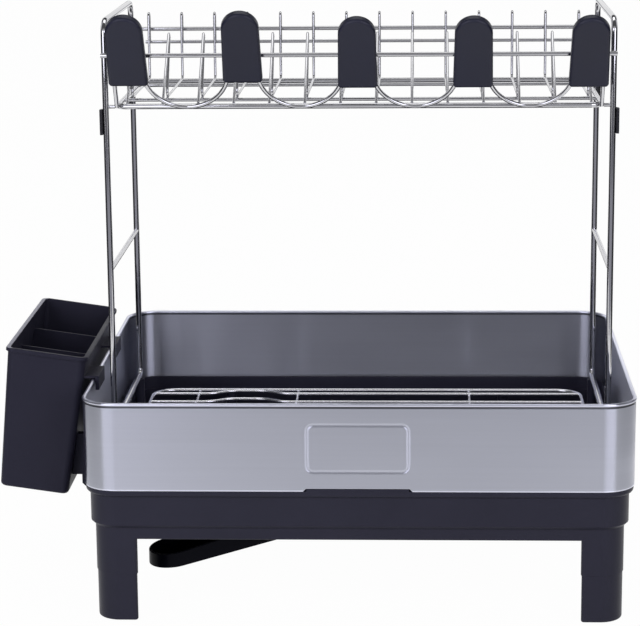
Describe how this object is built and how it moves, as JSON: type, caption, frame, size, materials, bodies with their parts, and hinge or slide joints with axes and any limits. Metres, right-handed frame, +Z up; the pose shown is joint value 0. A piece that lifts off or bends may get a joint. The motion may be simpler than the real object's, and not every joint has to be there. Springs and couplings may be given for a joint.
{
  "type": "dish drying rack",
  "caption": "Two-tier dish drying rack: drip tray on legs with a swivel drain spout, steel band, wire dish grid, wire shelf with plate tines, sleeved cup posts and a hook-on utensil holder.",
  "frame": {"origin": "on the table, under the middle of the outline of the whole rack, utensil holder included", "axes": "+Z up, +X to the right as the user stands in front of it, -Y towards the user"},
  "size_m": [0.5194, 0.3412, 0.4867],
  "materials": {
    "charcoal_plastic": "satin moulded",
    "brushed_steel": "fine brushed",
    "chrome_wire": "polished",
    "silicone_black": "matte",
    "black_plastic": "matte moulded",
    "seal_rubber": "matte"
  },
  "bodies": {
    "base": {"base_tray": "charcoal_plastic", "steel_band": "brushed_steel", "front_left_leg": "charcoal_plastic", "front_right_leg": "charcoal_plastic", "rear_left_leg": "charcoal_plastic", "rear_right_leg": "charcoal_plastic", "spout_retaining_ring": "black_plastic", "spout_seal": "seal_rubber"},
    "drain_spout": {"drain_spout": "charcoal_plastic"},
    "dish_grid": {"grid_frame_wire": "chrome_wire", "grid_cross_wires": "chrome_wire", "grid_depth_wires": "chrome_wire"},
    "upper_rack": {"left_side_frame": "chrome_wire", "right_side_frame": "chrome_wire", "left_middle_bar": "chrome_wire", "right_middle_bar": "chrome_wire", "left_frame_pins": "chrome_wire", "right_frame_pins": "chrome_wire", "front_tie_rail": "chrome_wire", "rear_tie_rail": "chrome_wire", "shelf_frame_wire": "chrome_wire", "shelf_cross_wires": "chrome_wire", "shelf_tine_wires": "chrome_wire", "tine_back_rail": "chrome_wire", "shelf_corner_stubs": "chrome_wire", "shelf_clips": "black_plastic", "cup_holder_wire": "chrome_wire", "cup_sleeve_1": "silicone_black", "cup_sleeve_2": "silicone_black", "cup_sleeve_3": "silicone_black", "cup_sleeve_4": "silicone_black", "cup_sleeve_5": "silicone_black"},
    "utensil_holder": {"utensil_holder": "black_plastic"}
  },
  "joints": [
    {"name": "spout_swivel", "type": "hinge", "parent": "base", "child": "drain_spout", "pos_m": [0.03913, 0, 0.06], "axis": [0, 0, 1], "continuous": true},
    {"name": "dish_grid_lift", "type": "slide", "parent": "base", "child": "dish_grid", "axis": [0, 0, 1], "range_m": [0, 0.2]},
    {"name": "upper_rack_lift", "type": "slide", "parent": "base", "child": "upper_rack", "axis": [0, 0, 1], "range_m": [0, 0.1]},
    {"name": "utensil_holder_lift", "type": "slide", "parent": "base", "child": "utensil_holder", "axis": [0, 0, 1], "range_m": [0, 0.15]}
  ]
}
